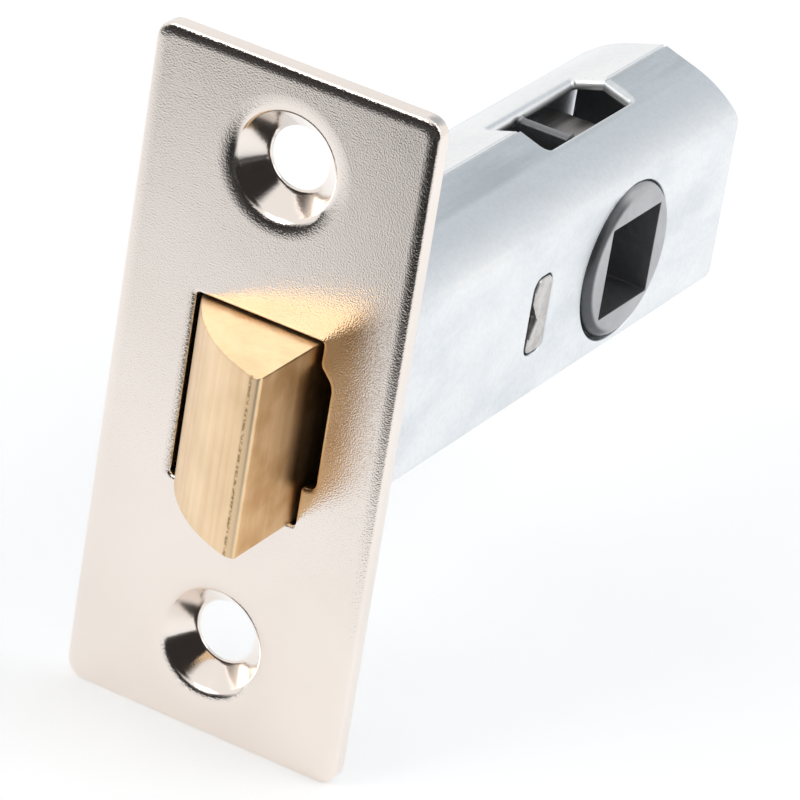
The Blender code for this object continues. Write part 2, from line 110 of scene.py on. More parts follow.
def math_node(nodes, links, operation, first, second):
    """A maths node whose inputs are sockets or numbers."""
    node = nodes.new("ShaderNodeMath")
    node.operation = operation
    for socket, value in zip(node.inputs, (first, second)):
        if isinstance(value, float):
            socket.default_value = value
        else:
            links.new(value, socket)
    return node.outputs[0]


def soft_step(nodes, links, value, start, end):
    """0 at start and 1 at end, with a smooth change between them."""
    node = nodes.new("ShaderNodeMapRange")
    node.interpolation_type = "SMOOTHSTEP"
    node.inputs["From Min"].default_value = start
    node.inputs["From Max"].default_value = end
    links.new(value, node.inputs["Value"])
    return node.outputs["Result"]


def towards(nodes, links, direction, centre, start, end):
    """1 where a direction points at a centre, 0 away from it. start and end are angles in degrees."""
    node = nodes.new("ShaderNodeVectorMath")
    node.operation = "DOT_PRODUCT"
    node.inputs[1].default_value = Vector(centre).normalized()
    links.new(direction, node.inputs[0])
    near, far = math.cos(math.radians(start)), math.cos(math.radians(end))
    return soft_step(nodes, links, node.outputs["Value"], far, near)


def seen_directly(nodes, links):
    """1 for what the camera, a reflection or clear glass sees, and 0 for plain light."""
    path = nodes.new("ShaderNodeLightPath")
    seen = math_node(nodes, links, "MAXIMUM", path.outputs["Is Camera Ray"], path.outputs["Is Glossy Ray"])
    return math_node(nodes, links, "MAXIMUM", seen, path.outputs["Is Transmission Ray"])


def colour_mix(nodes, links, factor, first, second, blend="MIX"):
    """Mixes two colours. Each input is a socket, or else a number for the factor and a colour."""
    node = nodes.new("ShaderNodeMix")
    node.data_type = "RGBA"
    node.blend_type = blend
    for socket, value in ((node.inputs[0], factor), (node.inputs[6], first), (node.inputs[7], second)):
        if hasattr(value, "is_linked"):
            links.new(value, socket)
        else:
            socket.default_value = value if isinstance(value, float) else (*value, 1.0)
    return node.outputs[2]


print("world tools ready")

# %% World
world = bpy.data.worlds.new("white surround")
scene.world = world
world.use_nodes = True
nodes, links = world.node_tree.nodes, world.node_tree.links
nodes.clear()
direction = nodes.new("ShaderNodeTexCoord").outputs["Generated"]
height = nodes.new("ShaderNodeSeparateXYZ")
links.new(direction, height.inputs[0])

room = towards(nodes, links, direction, (0.62, -0.66, 0.42), 30.0, 44.0)
strip_across = towards(nodes, links, direction, (-0.25, -0.97, 0.0), 26.0, 46.0)
strip_up = soft_step(nodes, links, height.outputs["Z"], 0.42, 0.24)
strip = math_node(nodes, links, "MULTIPLY", strip_across, strip_up)
dark = math_node(nodes, links, "MAXIMUM", room, strip)
dim = towards(nodes, links, direction, (0.05, 0.78, 0.62), 9.0, 29.0)

WHITE = (1.0, 1.0, 1.0)
BLUE_GREY = (0.50, 0.55, 0.60)
ROOM_COLOUR = (0.030, 0.026, 0.026)
backdrop = colour_mix(nodes, links, dim, WHITE, BLUE_GREY)
reflected = colour_mix(nodes, links, dark, backdrop, ROOM_COLOUR)
glossy = nodes.new("ShaderNodeLightPath").outputs["Is Glossy Ray"]
shown = colour_mix(nodes, links, glossy, WHITE, reflected)

plain_light = nodes.new("ShaderNodeBackground")
plain_light.inputs["Color"].default_value = (0.84, 0.86, 0.88, 1.0)
plain_light.inputs["Strength"].default_value = 0.80
mirrored = nodes.new("ShaderNodeBackground")
links.new(shown, mirrored.inputs["Color"])
both = nodes.new("ShaderNodeMixShader")
out = nodes.new("ShaderNodeOutputWorld")
links.new(seen_directly(nodes, links), both.inputs[0])
links.new(plain_light.outputs[0], both.inputs[1])
links.new(mirrored.outputs[0], both.inputs[2])
links.new(both.outputs[0], out.inputs[0])
print("world has", len(nodes), "nodes")

# %% [markdown]
# The floor is white paper with a little light of its own where it is seen directly, so that it
# stays white and still keeps the latch's shadow. The forend stands upright and mirrors the stretch
# of floor in front of it. So in reflections the paper carries painted shade: it darkens towards
# its front end, and a painted shadow lies round one place in front and to the right where the room
# shows most.

# %% Floor
FLOOR_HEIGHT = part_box("forend")[0][2]
REACH = 3.0
floor_mesh = bpy.data.meshes.new("floor")
corners = [(x * REACH, y * REACH, FLOOR_HEIGHT) for x, y in ((-1, -1), (1, -1), (1, 1), (-1, 1))]
floor_mesh.from_pydata(corners, [], [(0, 1, 2, 3)])
floor = bpy.data.objects.new("floor", floor_mesh)
scene.collection.objects.link(floor)
paper = bpy.data.materials.new("white paper")
paper.use_nodes = True
floor_mesh.materials.append(paper)
print("floor at", round(FLOOR_HEIGHT * 1000, 2), "mm")


# %% Paper seen in reflections
def grey_ramp(nodes, links, value, reach, stops):
    """A ramp of greys over 0 to reach metres. stops are (metres, level) pairs."""
    node = nodes.new("ShaderNodeValToRGB")
    links.new(math_node(nodes, links, "DIVIDE", value, reach), node.inputs["Fac"])
    while len(node.color_ramp.elements) < len(stops):
        node.color_ramp.elements.new(0.5)
    for element, (metres, level) in zip(node.color_ramp.elements, stops):
        element.position = metres / reach
        element.color = (level, level, level, 1.0)
    return node.outputs["Color"]


DARK_PLACE = Vector((0.030, -0.117, FLOOR_HEIGHT))
BEFORE_THE_LATCH = [(0.0, 1.0), (0.024, 0.96), (0.050, 0.90), (0.074, 0.78), (0.108, 0.67),
                    (0.130, 0.60), (0.143, 0.30), (0.158, 0.05)]
FROM_DARK_PLACE = [(0.038, 0.04), (0.050, 0.22), (0.062, 0.55), (0.070, 0.82), (0.078, 0.96), (0.086, 1.0)]
nodes, links = paper.node_tree.nodes, paper.node_tree.links
place = nodes.new("ShaderNodeTexCoord").outputs["Object"]
apart = nodes.new("ShaderNodeSeparateXYZ")
links.new(place, apart.inputs[0])
in_front = math_node(nodes, links, "MULTIPLY", apart.outputs["Y"], -1.0)
from_dark = nodes.new("ShaderNodeVectorMath")
from_dark.operation = "DISTANCE"
from_dark.inputs[1].default_value = DARK_PLACE
links.new(place, from_dark.inputs[0])
# Painted shade on the paper, seen only in reflections: darker towards the front and round DARK_PLACE.
paper_end = grey_ramp(nodes, links, in_front, 0.2, BEFORE_THE_LATCH)
painted_shadow_patch = grey_ramp(nodes, links, from_dark.outputs["Value"], 0.1, FROM_DARK_PLACE)
painted_floor_shade = colour_mix(nodes, links, 1.0, paper_end, painted_shadow_patch, "MULTIPLY")
print("paper fades over", BEFORE_THE_LATCH[-1][0] * 1000, "mm in front of the latch")

# %% Paper shader
PAPER_WHITE = (0.94, 0.94, 0.94)
OWN_LIGHT = 0.26
glossy = nodes.new("ShaderNodeLightPath").outputs["Is Glossy Ray"]
colour = colour_mix(nodes, links, glossy, PAPER_WHITE, painted_floor_shade)
shader = nodes["Principled BSDF"]
shader.inputs["Roughness"].default_value = 0.9
shader.inputs["Specular IOR Level"].default_value = 0.0
links.new(colour, shader.inputs["Base Color"])
links.new(colour, shader.inputs["Emission Color"])
glow = math_node(nodes, links, "MULTIPLY", seen_directly(nodes, links), OWN_LIGHT)
links.new(glow, shader.inputs["Emission Strength"])
print("paper has", len(nodes), "nodes")


# %% [markdown]
# Most of the light comes from the white surround. Two large soft lamps only give it a direction:
# a warmer one from the front left and a cooler one from the right.

# %% Lamps
def add_lamp(name, place, aim, size, power, colour):
    """A square soft lamp that looks at a point and that the camera doesn't see."""
    data = bpy.data.lights.new(name, "AREA")
    data.shape = "SQUARE"
    data.size = size
    data.energy = power
    data.color = colour
    lamp = bpy.data.objects.new(name, data)
    scene.collection.objects.link(lamp)
    lamp.location = place
    lamp.rotation_euler = (Vector(aim) - Vector(place)).to_track_quat("-Z", "Y").to_euler()
    lamp.visible_camera = False
    return lamp


MIDDLE = (0.0, 0.02, 0.0)
key = add_lamp("key from the front left", (-0.36, -0.56, 0.50), MIDDLE, 0.42, 1.1, (1.0, 0.99, 0.97))
fill = add_lamp("fill from the right", (0.55, 0.20, 0.55), MIDDLE, 0.5, 1.0, (0.97, 0.99, 1.0))
print("lamps:", key.name, "and", fill.name)

# %% [markdown]
# ## Small tools for making the pieces
#
# Most pieces of a latch are pressed, folded or turned, so nearly all of them can be made from
# outlines: a ring of points that is repeated, shrunk or moved, with faces stitched between one
# ring and the next. That gives clean strips of faces along every rounded edge, which is what
# makes metal edges catch the light. Flat faces with holes are filled in between the rings.


# %% Outlines
def arc(centre, radius, start, end, count):
    """Points on a circle between two angles in degrees, both included."""
    points = []
    for i in range(count + 1):
        a = math.radians(start + (end - start) * i / count)
        points.append((centre[0] + radius * math.cos(a), centre[1] + radius * math.sin(a)))
    return points


def circle(centre, radius, count):
    """Points on a whole circle, without the first one again at the end."""
    return arc(centre, radius, 0.0, 360.0, count)[:-1]


def rounded_rectangle(low, high, radius, count=6):
    """Anticlockwise outline of a rectangle from its low to its high corner."""
    x0, y0 = low[0] + radius, low[1] + radius
    x1, y1 = high[0] - radius, high[1] - radius
    points = []
    for centre, start in (((x1, y1), 0), ((x0, y1), 90), ((x0, y0), 180), ((x1, y0), 270)):
        points += arc(centre, radius, start, start + 90, count)
    return points


def rounded_polygon(corners, radii, inset=0.0, count=5):
    """An anticlockwise polygon with rounded corners, moved inwards by inset."""
    points = []
    for i, here in enumerate(corners):
        here = Vector(here)
        d0 = (here - Vector(corners[i - 1])).normalized()
        d1 = (Vector(corners[(i + 1) % len(corners)]) - here).normalized()
        n0 = Vector((-d0.y, d0.x))
        n1 = Vector((-d1.y, d1.x))
        here = here + (n0 + n1) * (inset / (1 + n0.dot(n1)))
        outside_corner = d0.cross(d1) > 0
        radius = max(radii[i] - inset if outside_corner else radii[i] + inset, 0.01 * MM)
        half = d0.angle(d1) / 2
        reach = radius * math.tan(half)
        inward = (d1 - d0).normalized()
        middle = here + inward * (radius / math.cos(half))
        first = here - d0 * reach - middle
        sweep = 2 * half if outside_corner else -2 * half
        for k in range(count + 1):
            a = sweep * k / count
            points.append(tuple(middle + Matrix.Rotation(a, 2) @ first))
    return points


def shrunk(points, distance):
    """The same outline moved inwards by a distance, for an anticlockwise outline."""
    result = []
    count = len(points)
    for i in range(count):
        p = Vector(points[i])
        a = p - Vector(points[i - 1])
        b = Vector(points[(i + 1) % count]) - p
        if a.length < 1e-9 or b.length < 1e-9:
            a = b if a.length < b.length else a
            b = a
        na = Vector((-a.y, a.x)).normalized()
        nb = Vector((-b.y, b.x)).normalized()
        n = (na + nb).normalized()
        result.append(tuple(p + n * (distance / max(0.3, n.dot(na)))))
    return result


print("outline tools ready")


# %% Surfaces from rings
def stitch_all(bm, rings):
    """Stitches a stack of rings, all with as many points, and returns the first and last of them."""
    made = [[bm.verts.new(p) for p in ring] for ring in rings]
    for lower, upper in zip(made, made[1:]):
        for i in range(len(lower)):
            bm.faces.new((lower[i - 1], lower[i], upper[i], upper[i - 1]))
    return made[0], made[-1]


def fill_flat(bm, rings, flatten):
    """Fills a flat face between an outer ring and the rings of its holes. The triangulation works
    in millimetres, the outer ring runs anticlockwise and the holes run clockwise."""
    verts = [v for ring in rings for v in ring]
    points = [Vector(flatten(v.co)) for v in verts]
    loops = []
    start = 0
    for ring in rings:
        loops.append(list(range(start, start + len(ring))))
        start += len(ring)
    for number, loop in enumerate(loops):
        area = sum(points[i].cross(points[j]) for i, j in zip(loop, loop[1:] + loop[:1]))
        is_outer = number == 0
        if (area < 0) == is_outer:
            loop.reverse()
    edges = [(i, j) for loop in loops for i, j in zip(loop, loop[1:] + loop[:1])]
    points = [p / MM for p in points]
    found = delaunay_2d_cdt(points, edges, [], 0, 1e-7)
    outer = [points[i] for i in loops[0]]
    holes = [[points[i] for i in loop] for loop in loops[1:]]
    for face in found[2]:
        middle = sum((found[0][i] for i in face), Vector((0.0, 0.0))) / len(face)
        if not inside(middle, outer) or any(inside(middle, hole) for hole in holes):
            continue
        originals = [found[3][i][0] for i in face]
        bm.faces.new([verts[i] for i in originals])


def inside(point, outline):
    """True if a point lies inside an outline, by counting the edges to its right."""
    hit = False
    for i, a in enumerate(outline):
        b = outline[i - 1]
        if (a.y > point.y) != (b.y > point.y):
            if point.x < (b.x - a.x) * (point.y - a.y) / (b.y - a.y) + a.x:
                hit = not hit
    return hit


def make_piece(name, bm, finish, body, stands_for, sharp=40.0):
    """Turns a bmesh into a shaded piece that rides on a body in place of its plain solid."""
    bmesh.ops.remove_doubles(bm, verts=bm.verts, dist=1e-8)
    bmesh.ops.recalc_face_normals(bm, faces=bm.faces)
    mesh = bpy.data.meshes.new(name)
    bm.to_mesh(mesh)
    bm.free()
    mesh.materials.append(finish)
    mesh.shade_smooth()
    mesh.set_sharp_from_angle(angle=math.radians(sharp))
    piece = bpy.data.objects.new(name, mesh)
    scene.collection.objects.link(piece)
    normals = piece.modifiers.new("flat faces stay flat", "WEIGHTED_NORMAL")
    normals.keep_sharp = True
    normals.weight = 50
    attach(piece, body)
    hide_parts(stands_for)
    low = [round(min(v.co[i] for v in mesh.vertices) * 1000, 2) for i in range(3)]
    high = [round(max(v.co[i] for v in mesh.vertices) * 1000, 2) for i in range(3)]
    print(name, "from", low, "to", high, "mm,", len(mesh.polygons), "faces")
    return piece


print("surface tools ready")

# %% [markdown]
# ## Finishes
#
# A finish is a small network of nodes. Each one starts from the metal's own colour and then
# breaks it up the way the real surface is broken up: rolling lines, orange peel and tarnish. A
# mask is a value that is 1 in one place of the piece and 0 elsewhere, and it lets a colour differ
# there. The texture coordinates are the object's own, in metres, so a scale of 2000 gives
# features about half a millimetre across.


# %% Finish tools
class Finish:
    """A material whose nodes are added one at a time."""

    def __init__(self, name, metallic, roughness):
        self.material = bpy.data.materials.new(name)
        self.material.use_nodes = True
        self.nodes = self.material.node_tree.nodes
        self.links = self.material.node_tree.links
        self.shader = self.nodes["Principled BSDF"]
        self.shader.inputs["Metallic"].default_value = metallic
        self.shader.inputs["Roughness"].default_value = roughness
        self.place = self.nodes.new("ShaderNodeTexCoord").outputs["Object"]

    def stretched(self, scale):
        """The object's coordinates, stretched by a scale for each axis."""
        mapping = self.nodes.new("ShaderNodeMapping")
        mapping.inputs["Scale"].default_value = scale
        self.links.new(self.place, mapping.inputs["Vector"])
        return mapping.outputs[0]

    def noise(self, scale, detail, roughness, vector=None):
        node = self.nodes.new("ShaderNodeTexNoise")
        node.inputs["Scale"].default_value = scale
        node.inputs["Detail"].default_value = detail
        node.inputs["Roughness"].default_value = roughness
        self.links.new(vector or self.place, node.inputs["Vector"])
        return node.outputs["Fac"]

    def ramp(self, value, stops):
        """Turns a value into a colour. stops are (position, colour) pairs."""
        node = self.nodes.new("ShaderNodeValToRGB")
        ramp = node.color_ramp
        while len(ramp.elements) < len(stops):
            ramp.elements.new(0.5)
        for element, (position, colour) in zip(ramp.elements, stops):
            element.position = position
            element.color = (*colour, 1.0)
        self.links.new(value, node.inputs["Fac"])
        return node.outputs["Color"]

    def span(self, value, low, high, start=0.3, end=0.7):
        """Maps a value from start..end to low..high."""
        node = self.nodes.new("ShaderNodeMapRange")
        node.inputs["From Min"].default_value = start
        node.inputs["From Max"].default_value = end
        node.inputs["To Min"].default_value = low
        node.inputs["To Max"].default_value = high
        self.links.new(value, node.inputs["Value"])
        return node.outputs["Result"]

    def mix(self, factor, first, second):
        """The first colour where the factor is 0 and the second where it is 1."""
        return colour_mix(self.nodes, self.links, factor, first, second)

    def tinted(self, first, second):
        """Two colours multiplied."""
        return colour_mix(self.nodes, self.links, 1.0, first, second, "MULTIPLY")

    def maths(self, operation, first, second):
        return math_node(self.nodes, self.links, operation, first, second)

    def step(self, value, start, end):
        return soft_step(self.nodes, self.links, value, start, end)

    def both(self, *masks):
        """1 only where every mask is 1."""
        product = masks[0]
        for mask in masks[1:]:
            product = self.maths("MULTIPLY", product, mask)
        return product

    def distance(self, first, second):
        """How far a point is from the origin of two distances at right angles."""
        squares = [self.maths("MULTIPLY", value, value) for value in (first, second)]
        return self.maths("SQRT", self.maths("ADD", *squares), 0.0)

    def along(self, axis):
        """The coordinate along X, Y or Z (0, 1 or 2)."""
        apart = self.nodes.new("ShaderNodeSeparateXYZ")
        self.links.new(self.place, apart.inputs[0])
        return apart.outputs[axis]

    def away_from(self, axis, place):
        """The distance along X, Y or Z (0, 1 or 2) from a place on that axis."""
        return self.maths("ABSOLUTE", self.maths("SUBTRACT", self.along(axis), place), 0.0)

    def bump(self, height, strength, distance, under=None):
        node = self.nodes.new("ShaderNodeBump")
        node.inputs["Strength"].default_value = strength
        node.inputs["Distance"].default_value = distance
        self.links.new(height, node.inputs["Height"])
        if under:
            self.links.new(under, node.inputs["Normal"])
        return node.outputs["Normal"]

    def set(self, name, output):
        self.links.new(output, self.shader.inputs[name])


print("finish tools ready")

# %% [markdown]
# ### Bright nickel on the forend
#
# The plate is pressed steel with a thin bright plating over a fine orange-peel texture. Close up
# it looks grained, because every tiny hump mirrors a slightly different piece of the room. A fine
# noise drives the bump, and does less inside the dimples, which the punch has polished. A larger
# noise clouds the colour and the shine.

# %% Nickel finish
SCREW_HEIGHT = 20.5 * MM
nickel = Finish("bright nickel plate", 1.0, 0.20)
clouds = nickel.noise(110.0, 2.0, 0.5)
nickel.set("Roughness", nickel.span(clouds, 0.10, 0.14))
sideways = nickel.away_from(0, 0.0)
upwards = nickel.away_from(2, 0.0)
from_screw = nickel.distance(sideways, nickel.maths("SUBTRACT", upwards, SCREW_HEIGHT))
in_dimple = nickel.step(from_screw, 4.9 * MM, 4.4 * MM)
outside_dimple = nickel.maths("SUBTRACT", 1.0, nickel.maths("MULTIPLY", in_dimple, 0.85))
grain = nickel.both(nickel.noise(7600.0, 1.0, 0.4), outside_dimple)
peel = nickel.bump(nickel.noise(260.0, 1.0, 0.5), 0.10, 0.00010)
nickel.set("Normal", nickel.bump(grain, 0.42, 0.00005, peel))
print("made", nickel.material.name)

# %% [markdown]
# Along the aperture's left edge, beside the gap to the bolt, the plate is coloured dark brown and
# grainy. It is a mask that keeps to that edge, multiplied by a fine noise.

# %% Dark grainy edge beside the bolt
EDGE_BROWN = (0.42, 0.36, 0.29)
tone = nickel.ramp(clouds, [(0.30, (0.83, 0.755, 0.695)), (0.70, (0.87, 0.795, 0.735))])
from_left = nickel.step(nickel.along(0), -6.6 * MM, -5.9 * MM)
to_hole = nickel.step(nickel.along(0), -5.3 * MM, -5.7 * MM)
beside_bolt = nickel.step(upwards, 8.2 * MM, 7.6 * MM)
speckles = nickel.step(nickel.noise(5200.0, 3.0, 0.7), 0.38, 0.66)
grainy_dark_edge = nickel.both(from_left, to_hole, beside_bolt, speckles)
nickel.set("Base Color", nickel.mix(grainy_dark_edge, tone, EDGE_BROWN))
print("nickel has", len(nickel.nodes), "nodes")

# %% [markdown]
# ### Zinc plate on the case
#
# The case is cold rolled strip with a blue-white zinc plating. It is satin rather than bright,
# with dull patches where the plating bath left it uneven, and fine specks all over.

# %% Zinc finish
zinc = Finish("blue zinc plate", 1.0, 0.42)
patches = zinc.noise(230.0, 3.0, 0.5, zinc.stretched((1.0, 0.6, 1.0)))
specks = zinc.noise(2600.0, 2.0, 0.5)
base = zinc.ramp(patches, [(0.32, (0.76, 0.785, 0.81)), (0.5, (0.82, 0.84, 0.855)),
                           (0.66, (0.86, 0.87, 0.88))])
speckled = zinc.ramp(specks, [(0.3, (0.95, 0.95, 0.95)), (0.6, (1.0, 1.0, 1.0))])
zinc.set("Roughness", zinc.span(patches, 0.46, 0.36))
zinc.set("Normal", zinc.bump(specks, 0.10, 0.00003, zinc.bump(patches, 0.10, 0.00015)))
print("made", zinc.material.name)

# %% [markdown]
# Three places of the case differ. The right half of its roof is darker beside the seam, partly
# painted shade and partly streaks that run down the case as the strip was rolled. The left half is
# painted paler, a painted reflection of the white backdrop. The inside is painted darker, painted
# shade that gives the window its depth.

# %% Roof and inside of the case
PAINTED_LIGHT_ZINC = (0.93, 0.935, 0.93)
STREAK_AND_SHADE_GREY = (0.66, 0.69, 0.70)
INNER_SHADE_GREY = (0.24, 0.26, 0.285)
right_roof = zinc.both(zinc.step(zinc.along(0), 3.7 * MM, 3.0 * MM),
                       zinc.step(zinc.along(0), 0.0, 0.1 * MM),
                       zinc.step(zinc.along(2), 8.0 * MM, 9.5 * MM))
left_roof_painted_light = zinc.both(zinc.step(zinc.along(0), 0.0, -0.1 * MM),
                      zinc.step(zinc.along(2), 8.0 * MM, 9.0 * MM))
lines = zinc.noise(600.0, 3.0, 0.6, zinc.stretched((1.0, 0.10, 1.0)))
streaks_and_painted_shade = zinc.both(right_roof, zinc.span(lines, 0.25, 1.0, 0.35, 0.62))
sideways = zinc.away_from(0, 0.0)
from_middle = zinc.distance(sideways, zinc.away_from(2, 0.0))
inner_painted_shade = zinc.both(zinc.step(sideways, 7.3 * MM, 7.1 * MM),
                       zinc.step(from_middle, 10.15 * MM, 9.95 * MM),
                       zinc.step(zinc.along(1), 62.9 * MM, 62.5 * MM))
# Painted light and shade: a paler left roof, a darker right roof under the streaks, a darker inside.
plating_and_painted_light = zinc.mix(zinc.maths("MULTIPLY", left_roof_painted_light, 0.7), base, PAINTED_LIGHT_ZINC)
plating_and_painted_light = zinc.mix(streaks_and_painted_shade, plating_and_painted_light, STREAK_AND_SHADE_GREY)
plating_and_painted_light = zinc.mix(zinc.maths("MULTIPLY", inner_painted_shade, 0.45), plating_and_painted_light, INNER_SHADE_GREY)
zinc.set("Base Color", zinc.tinted(plating_and_painted_light, speckled))
print("zinc has", len(zinc.nodes), "nodes")

# %% [markdown]
# ### Brass on the bolt
#
# The bolt is cut from drawn brass bar. Drawing leaves fine streaks along the bar, and here the
# bar's length is the bolt's height, so the streaks run up and down. Noise that is squeezed
# across and stretched along Z gives them, and a coarser noise stains the metal.

# %% Brass finish
brass = Finish("drawn brass", 1.0, 0.34)
streaks = brass.noise(900.0, 4.0, 0.6, brass.stretched((1.0, 1.0, 0.03)))
stains = brass.noise(260.0, 3.0, 0.5)
tone = brass.ramp(streaks, [(0.30, (0.80, 0.565, 0.335)), (0.52, (0.90, 0.675, 0.435)),
                            (0.75, (0.94, 0.74, 0.50))])
dull = brass.ramp(stains, [(0.25, (0.88, 0.86, 0.82)), (0.6, (1.0, 1.0, 1.0))])
wear_and_painted_tint = brass.tinted(tone, dull)
brass.set("Roughness", brass.span(streaks, 0.30, 0.42))
brass.set("Normal", brass.bump(streaks, 0.15, 0.00002))
print("made", brass.material.name)

# %% [markdown]
# The narrow flat at the nose is browner than the bevel, and a rough pitted line borders it. The
# bolt's flat side is painted darker and warmer in patches, partly stains and partly a painted
# reflection of its own brass in the forend beside it. All three are masks made from the bolt's
# own coordinates.

# %% Nose and flat side of the bolt
BOLT_LOW, BOLT_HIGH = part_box("latch_bolt")
NOSE_WIDTH = 0.85 * MM
NOSE_BROWN = (0.72, 0.52, 0.31)
PIT_BROWN = (0.32, 0.20, 0.09)
pits = brass.noise(4000.0, 3.0, 0.7)
at_nose = brass.step(brass.away_from(1, BOLT_LOW[1]), 0.20 * MM, 0.10 * MM)
from_border = brass.away_from(0, BOLT_HIGH[0] - NOSE_WIDTH)
ragged = brass.maths("ADD", from_border, brass.maths("MULTIPLY", pits, 0.12 * MM))
rough_line = brass.both(brass.step(ragged, 0.28 * MM, 0.10 * MM), at_nose, brass.step(pits, 0.36, 0.60))
nose_flat = brass.both(at_nose, brass.step(brass.away_from(0, 4.78 * MM), 0.30 * MM, 0.22 * MM))
# Painted reflection: the flat side is tinted darker and warmer, broken up by the stain noise.
flat_side = brass.step(brass.along(0), 5.28 * MM, 5.36 * MM)
stains_and_reflected_tint = brass.ramp(stains, [(0.35, (0.77, 0.60, 0.385)), (0.6, (0.94, 0.84, 0.69))])
wear_and_painted_tint = brass.mix(brass.maths("MULTIPLY", nose_flat, 0.4), wear_and_painted_tint, NOSE_BROWN)
wear_and_painted_tint = brass.mix(flat_side, wear_and_painted_tint, brass.tinted(wear_and_painted_tint, stains_and_reflected_tint))
brass.set("Base Color", brass.mix(rough_line, wear_and_painted_tint, PIT_BROWN))
print("brass has", len(brass.nodes), "nodes")

# %% [markdown]
# ### Grey casting, plain steel and spring wire
#
# The follower is a die casting with a dull grey skin. Its rim and the front of its lobes are
# painted dark, painted shade where they face the dark room in front, and its square hole is painted
# darker than its faces, painted shade in the recess. HUB_SITS says how far the hub has
# settled in its holes, forwards and upwards, because the masks have to follow it.

# %% Casting finish
HUB_Y = 46.2 * MM
HUB_SITS = (-0.12 * MM, 0.20 * MM)
FRONT_SHADE_GREY = (0.112, 0.116, 0.122)
HOLE_SHADE_GREY = (0.25, 0.25, 0.26)
casting = Finish("grey casting", 0.9, 0.45)
skin = casting.noise(1900.0, 3.0, 0.6)
flow = casting.noise(220.0, 2.0, 0.5)
metal = casting.ramp(flow, [(0.3, (0.43, 0.43, 0.44)), (0.7, (0.53, 0.53, 0.54))])
along_case = casting.away_from(1, HUB_Y + HUB_SITS[0])
upright = casting.away_from(2, HUB_SITS[1])
in_square = casting.step(casting.maths("MAXIMUM", along_case, upright), 4.12 * MM, 4.06 * MM)
from_axis = casting.distance(along_case, upright)
rim = casting.both(casting.step(from_axis, 5.85 * MM, 6.25 * MM),
                   casting.step(from_axis, 10.15 * MM, 9.95 * MM))
front = casting.step(casting.along(1), 45.4 * MM, 42.8 * MM)
# Painted shade: the forward-facing rim and lobe fronts, and the square hole, are darkened.
front_painted_shade = casting.mix(casting.both(rim, front), metal, FRONT_SHADE_GREY)
casting.set("Base Color", casting.mix(in_square, front_painted_shade, HOLE_SHADE_GREY))
casting.set("Roughness", casting.span(skin, 0.40, 0.54))
casting.set("Normal", casting.bump(skin, 0.25, 0.00003))
print("made", casting.material.name)

# %% [markdown]
# The retractor, stop and screw are steel that is left plain because nobody sees it, so it is
# darker and a little oily. The ends of the stop's lugs are the same steel, brightened and dented
# by the punch that staked them. The spring wire is drawn, which polishes it.

# %% Steel and wire finishes
steel = Finish("plain steel", 1.0, 0.38)
rolled = steel.noise(1400.0, 3.0, 0.6, steel.stretched((1.0, 0.08, 1.0)))
steel.set("Base Color", steel.ramp(rolled, [(0.3, (0.30, 0.285, 0.275)), (0.7, (0.43, 0.415, 0.40))]))
steel.set("Roughness", steel.span(rolled, 0.32, 0.46))
steel.set("Normal", steel.bump(rolled, 0.2, 0.00002))

staked = Finish("staked steel", 1.0, 0.40)
dabs = staked.noise(650.0, 3.0, 0.6)
staked.set("Base Color", staked.ramp(dabs, [(0.35, (0.46, 0.44, 0.43)), (0.55, (0.64, 0.62, 0.60)),
                                            (0.7, (0.70, 0.68, 0.66))]))
staked.set("Roughness", staked.span(dabs, 0.32, 0.48))
staked.set("Normal", staked.bump(dabs, 0.5, 0.00012))

wire = Finish("spring wire", 1.0, 0.26)
drawn = wire.noise(1200.0, 2.0, 0.5)
wire.set("Base Color", wire.ramp(drawn, [(0.3, (0.42, 0.42, 0.43)), (0.7, (0.56, 0.56, 0.57))]))
wire.set("Roughness", wire.span(drawn, 0.22, 0.34))
print("made", steel.material.name, staked.material.name, wire.material.name)

# %% [markdown]
# ## Forend
#
# The forend is a flat pressed plate. Its edges are tumbled round, the screw holes are dimpled
# into it by a conical punch, and the aperture for the bolt is punched through. Every opening is
# a stack of rings that starts on the front face, goes through the plate and ends on its back, so
# the plate is one outer stack, three inner ones and two flat fills. No cutting is needed, and each
# rim keeps its own small radius. EDGE_ROLL pairs the distance in from the plate's edge with the
# depth below its face, and DIMPLE pairs a radius with a depth, all in millimetres.

# %% Forend sizes
PLATE_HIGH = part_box("forend")[1]
PLATE_BACK = 1.6 * MM
SCREW_PLACES = (SCREW_HEIGHT, -SCREW_HEIGHT)
half_width = PLATE_HIGH[0]
half_height = PLATE_HIGH[2]
print("forend", round(half_width * 2000, 2), "by", round(half_height * 2000, 2), "mm")

# %% Forend rings
EDGE_ROLL = [(1.15, 0.0), (0.97, 0.0055), (0.79, 0.022), (0.64, 0.045), (0.49, 0.075),
             (0.38, 0.102), (0.29, 0.128), (0.22, 0.155), (0.16, 0.185), (0.10, 0.235),
             (0.05, 0.295), (0.015, 0.37), (0.0, 0.47)]
BACK_ROUND = 0.15 * MM
edge_rings = [(y * MM, inset * MM) for inset, y in EDGE_ROLL]
for step in range(4):
    a = math.radians(90 * step / 3)
    edge_rings.append((PLATE_BACK - BACK_ROUND * (1 - math.sin(a)), BACK_ROUND * (1 - math.cos(a))))
outer = []
for y, inset in edge_rings:
    outline = rounded_rectangle((inset - half_width, inset - half_height),
                                (half_width - inset, half_height - inset), 1.6 * MM - inset, 10)
    outer.append([(x, y, z) for x, z in outline])

